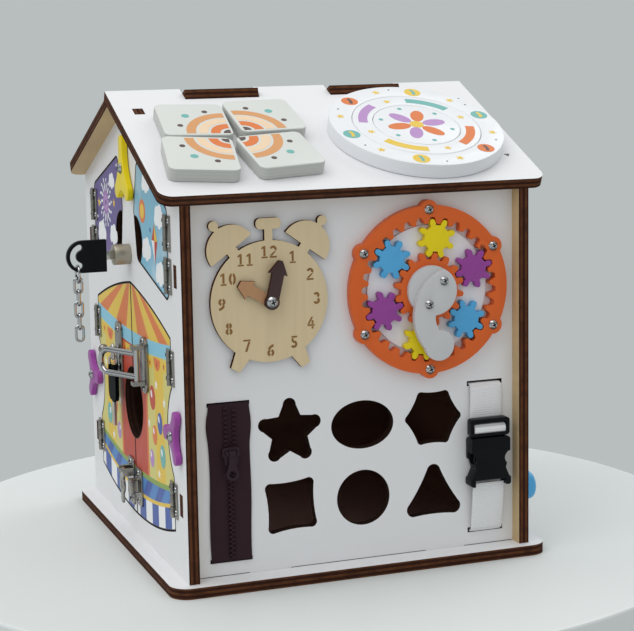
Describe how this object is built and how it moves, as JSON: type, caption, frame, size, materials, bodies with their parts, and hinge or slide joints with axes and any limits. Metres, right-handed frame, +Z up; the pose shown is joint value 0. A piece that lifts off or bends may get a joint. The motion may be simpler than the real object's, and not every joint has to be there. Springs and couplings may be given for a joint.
{
  "type": "activity house",
  "caption": "Plywood play house with a clock, planetary gear set, shape sorter, zip, buckle, picture tiles, turning dial, and hinged doors with lock, guard, clasp and turn buttons.",
  "frame": {"origin": "centre of the base plate's underside", "axes": "+X to the right along the clock front, -Y out of the clock front, +Z up; the gable with the doors faces -X"},
  "size_m": [0.337, 0.312, 0.3561],
  "materials": {
    "painted_ply": "white lacquered birch plywood with scorched edges",
    "birch_ply": "bare birch plywood with scorched edges",
    "tan_wood": "stained wood, satin",
    "brown_wood": "dark stained wood, satin",
    "orange_plastic": "glossy",
    "yellow_plastic": "glossy",
    "blue_plastic": "glossy",
    "purple_plastic": "glossy",
    "white_plastic": "satin",
    "grey_plastic": "satin",
    "steel": "bright nickel plate",
    "zip_fabric": "woven tape with moulded teeth",
    "zip_metal": "dark enamel",
    "webbing": "woven webbing",
    "black_plastic": "satin",
    "printed_tile": "printed board, satin",
    "printed_dial": "printed board, satin",
    "night_print": "printed plywood, satin",
    "day_print": "printed plywood, satin",
    "fair_print": "printed plywood, satin"
  },
  "bodies": {
    "house": {"base_plate": "painted_ply", "front_wall": "painted_ply", "back_wall": "painted_ply", "left_gable": "painted_ply", "right_gable": "painted_ply", "roof_front_panel": "painted_ply", "roof_back_panel": "painted_ply", "clock_face": "birch_ply", "ring_gear": "orange_plastic", "ring_screws": "steel", "zip_tape": "zip_fabric", "upper_strap": "webbing", "lower_strap": "webbing", "buckle_socket": "black_plastic", "pivot_screws": "steel", "wall_hinge_leaves": "steel", "lock_barrel": "steel"},
    "hour_hand": {"hour_hand": "tan_wood"},
    "minute_hand": {"minute_hand": "brown_wood"},
    "crank": {"sun_gear": "orange_plastic", "crank_disc": "grey_plastic", "crank_handle": "grey_plastic", "crank_screws": "steel"},
    "carrier": {"planet_carrier": "white_plastic"},
    "planet_top_yellow": {"planet_top_yellow": "yellow_plastic"},
    "planet_left_blue": {"planet_left_blue": "blue_plastic"},
    "planet_left_purple": {"planet_left_purple": "purple_plastic"},
    "planet_bottom_yellow": {"planet_bottom_yellow": "yellow_plastic"},
    "planet_right_blue": {"planet_right_blue": "blue_plastic"},
    "planet_right_purple": {"planet_right_purple": "purple_plastic"},
    "zip_slider": {"zip_slider": "zip_metal"},
    "zip_pull": {"zip_pull": "zip_metal"},
    "buckle_plug": {"buckle_plug": "black_plastic"},
    "tile_upper_left": {"tile_upper_left": "printed_tile"},
    "tile_upper_right": {"tile_upper_right": "printed_tile"},
    "tile_lower_left": {"tile_lower_left": "printed_tile"},
    "tile_lower_right": {"tile_lower_right": "printed_tile"},
    "dial_outer_ring": {"dial_outer_ring": "printed_dial"},
    "dial_middle_ring": {"dial_middle_ring": "printed_dial"},
    "dial_inner_disc": {"dial_inner_disc": "printed_dial"},
    "top_turn_button": {"top_turn_button": "yellow_plastic"},
    "left_turn_button": {"left_turn_button": "purple_plastic"},
    "right_turn_button": {"right_turn_button": "purple_plastic"},
    "night_door": {"night_door": "night_print", "night_hinge_leaves": "steel"},
    "day_door": {"day_door": "day_print", "day_hinge_leaves": "steel"},
    "left_lower_door": {"left_lower_door": "fair_print", "left_lower_hinge_leaves": "steel", "left_door_catches": "steel"},
    "right_lower_door": {"right_lower_door": "fair_print", "right_lower_hinge_leaves": "steel", "right_door_catches": "steel"},
    "lock_plug": {"lock_plug": "steel"},
    "lock_key": {"lock_key": "black_plastic"},
    "key_chain": {"key_chain": "steel"},
    "door_guard_bar": {"door_guard_bar": "steel"},
    "clasp_lever": {"clasp_lever": "steel"},
    "spare_key": {"spare_key": "black_plastic"},
    "side_knob": {"side_knob": "blue_plastic"}
  },
  "joints": [
    {"name": "hour_hand_turn", "type": "hinge", "parent": "house", "child": "hour_hand", "pos_m": [-0.06751, -0.1363, 0.2085], "axis": [0, -1, 0], "continuous": true},
    {"name": "minute_hand_turn", "type": "hinge", "parent": "house", "child": "minute_hand", "pos_m": [-0.06751, -0.1363, 0.2085], "axis": [0, -1, 0], "continuous": true},
    {"name": "crank_turn", "type": "hinge", "parent": "house", "child": "crank", "pos_m": [0.0562, -0.1363, 0.2089], "axis": [0, -1, 0], "continuous": true},
    {"name": "carrier_turn", "type": "hinge", "parent": "house", "child": "carrier", "pos_m": [0.0562, -0.1363, 0.2089], "axis": [0, -1, 0], "continuous": true},
    {"name": "planet_top_yellow_spin", "type": "hinge", "parent": "carrier", "child": "planet_top_yellow", "pos_m": [0.06234, -0.1363, 0.24681], "axis": [0, -1, 0], "continuous": true},
    {"name": "planet_left_blue_spin", "type": "hinge", "parent": "carrier", "child": "planet_left_blue", "pos_m": [0.02644, -0.1363, 0.23317], "axis": [0, -1, 0], "continuous": true},
    {"name": "planet_left_purple_spin", "type": "hinge", "parent": "carrier", "child": "planet_left_purple", "pos_m": [0.02031, -0.1363, 0.19526], "axis": [0, -1, 0], "continuous": true},
    {"name": "planet_bottom_yellow_spin", "type": "hinge", "parent": "carrier", "child": "planet_bottom_yellow", "pos_m": [0.05006, -0.1363, 0.17099], "axis": [0, -1, 0], "continuous": true},
    {"name": "planet_right_blue_spin", "type": "hinge", "parent": "carrier", "child": "planet_right_blue", "pos_m": [0.08596, -0.1363, 0.18463], "axis": [0, -1, 0], "continuous": true},
    {"name": "planet_right_purple_spin", "type": "hinge", "parent": "carrier", "child": "planet_right_purple", "pos_m": [0.0921, -0.1363, 0.22254], "axis": [0, -1, 0], "continuous": true},
    {"name": "zip_slide", "type": "slide", "parent": "house", "child": "zip_slider", "axis": [0, 0, 1], "range_m": [-0.062, 0.026]},
    {"name": "zip_pull_swing", "type": "hinge", "parent": "zip_slider", "child": "zip_pull", "pos_m": [-0.0995, -0.1437, 0.1005], "axis": [-1, 0, 0], "range_deg": [0, 160]},
    {"name": "buckle_slide", "type": "slide", "parent": "house", "child": "buckle_plug", "axis": [0, 0, 1], "range_m": [0, 0.026], "deforming": ["upper_strap"]},
    {"name": "tile_upper_left_lift", "type": "slide", "parent": "house", "child": "tile_upper_left", "axis": [0, -0.3939, 0.9191], "range_m": [0, 0.04]},
    {"name": "tile_upper_right_lift", "type": "slide", "parent": "house", "child": "tile_upper_right", "axis": [0, -0.3939, 0.9191], "range_m": [0, 0.04]},
    {"name": "tile_lower_left_lift", "type": "slide", "parent": "house", "child": "tile_lower_left", "axis": [0, -0.3939, 0.9191], "range_m": [0, 0.04]},
    {"name": "tile_lower_right_lift", "type": "slide", "parent": "house", "child": "tile_lower_right", "axis": [0, -0.3939, 0.9191], "range_m": [0, 0.04]},
    {"name": "dial_outer_ring_turn", "type": "hinge", "parent": "house", "child": "dial_outer_ring", "pos_m": [0.0705, -0.08314, 0.3175], "axis": [0, -0.3939, 0.9191], "continuous": true},
    {"name": "dial_middle_ring_turn", "type": "hinge", "parent": "house", "child": "dial_middle_ring", "pos_m": [0.0705, -0.08314, 0.3175], "axis": [0, -0.3939, 0.9191], "continuous": true},
    {"name": "dial_inner_disc_turn", "type": "hinge", "parent": "house", "child": "dial_inner_disc", "pos_m": [0.0705, -0.08314, 0.3175], "axis": [0, -0.3939, 0.9191], "continuous": true},
    {"name": "top_button_turn", "type": "hinge", "parent": "house", "child": "top_turn_button", "pos_m": [-0.135, 0, 0.29703], "axis": [-1, 0, 0], "continuous": true},
    {"name": "left_button_turn", "type": "hinge", "parent": "house", "child": "left_turn_button", "pos_m": [-0.135, 0.126, 0.113], "axis": [-1, 0, 0], "continuous": true},
    {"name": "right_button_turn", "type": "hinge", "parent": "house", "child": "right_turn_button", "pos_m": [-0.135, -0.126, 0.113], "axis": [-1, 0, 0], "continuous": true},
    {"name": "night_door_swing", "type": "hinge", "parent": "house", "child": "night_door", "pos_m": [-0.1369, 0.1146, 0.25], "axis": [0, 0, -1], "range_deg": [0, 110]},
    {"name": "day_door_swing", "type": "hinge", "parent": "house", "child": "day_door", "pos_m": [-0.1369, -0.1146, 0.25], "axis": [0, 0, 1], "range_deg": [0, 110]},
    {"name": "left_lower_door_swing", "type": "hinge", "parent": "house", "child": "left_lower_door", "pos_m": [-0.1369, 0.1146, 0.113], "axis": [0, 0, -1], "range_deg": [0, 110]},
    {"name": "right_lower_door_swing", "type": "hinge", "parent": "house", "child": "right_lower_door", "pos_m": [-0.1369, -0.1146, 0.113], "axis": [0, 0, 1], "range_deg": [0, 110]},
    {"name": "lock_turn", "type": "hinge", "parent": "house", "child": "lock_plug", "pos_m": [-0.135, 0, 0.2305], "axis": [-1, 0, 0], "range_deg": [0, 90]},
    {"name": "key_pull", "type": "slide", "parent": "lock_plug", "child": "lock_key", "axis": [-1, 0, 0], "range_m": [0, 0.024]},
    {"name": "chain_swing", "type": "hinge", "parent": "lock_key", "child": "key_chain", "pos_m": [-0.1761, 0, 0.2172], "axis": [-1, 0, 0], "range_deg": [-90, 0]},
    {"name": "guard_bar_swing", "type": "hinge", "parent": "right_lower_door", "child": "door_guard_bar", "pos_m": [-0.142, -0.04, 0.15], "axis": [0, 0, 1], "range_deg": [-8, 140]},
    {"name": "clasp_lever_swing", "type": "hinge", "parent": "left_lower_door", "child": "clasp_lever", "pos_m": [-0.1422, 0.012, 0.056], "axis": [0, 1, 0], "range_deg": [0, 100]},
    {"name": "spare_key_swing", "type": "hinge", "parent": "left_lower_door", "child": "spare_key", "pos_m": [-0.1415, 0.04, 0.15], "axis": [-1, 0, 0], "range_deg": [-20, 20]},
    {"name": "side_knob_turn", "type": "hinge", "parent": "house", "child": "side_knob", "pos_m": [0.135, -0.118, 0.045], "axis": [1, 0, 0], "continuous": true}
  ],
  "couplings": [
    {"joint": "carrier_turn", "follows": "crank_turn", "ratio": 0.33333},
    {"joint": "planet_top_yellow_spin", "follows": "crank_turn", "ratio": -1.3333},
    {"joint": "planet_left_blue_spin", "follows": "crank_turn", "ratio": -1.3333},
    {"joint": "planet_left_purple_spin", "follows": "crank_turn", "ratio": -1.3333},
    {"joint": "planet_bottom_yellow_spin", "follows": "crank_turn", "ratio": -1.3333},
    {"joint": "planet_right_blue_spin", "follows": "crank_turn", "ratio": -1.3333},
    {"joint": "planet_right_purple_spin", "follows": "crank_turn", "ratio": -1.3333},
    {"joint": "chain_swing", "follows": "lock_turn", "ratio": -1}
  ]
}
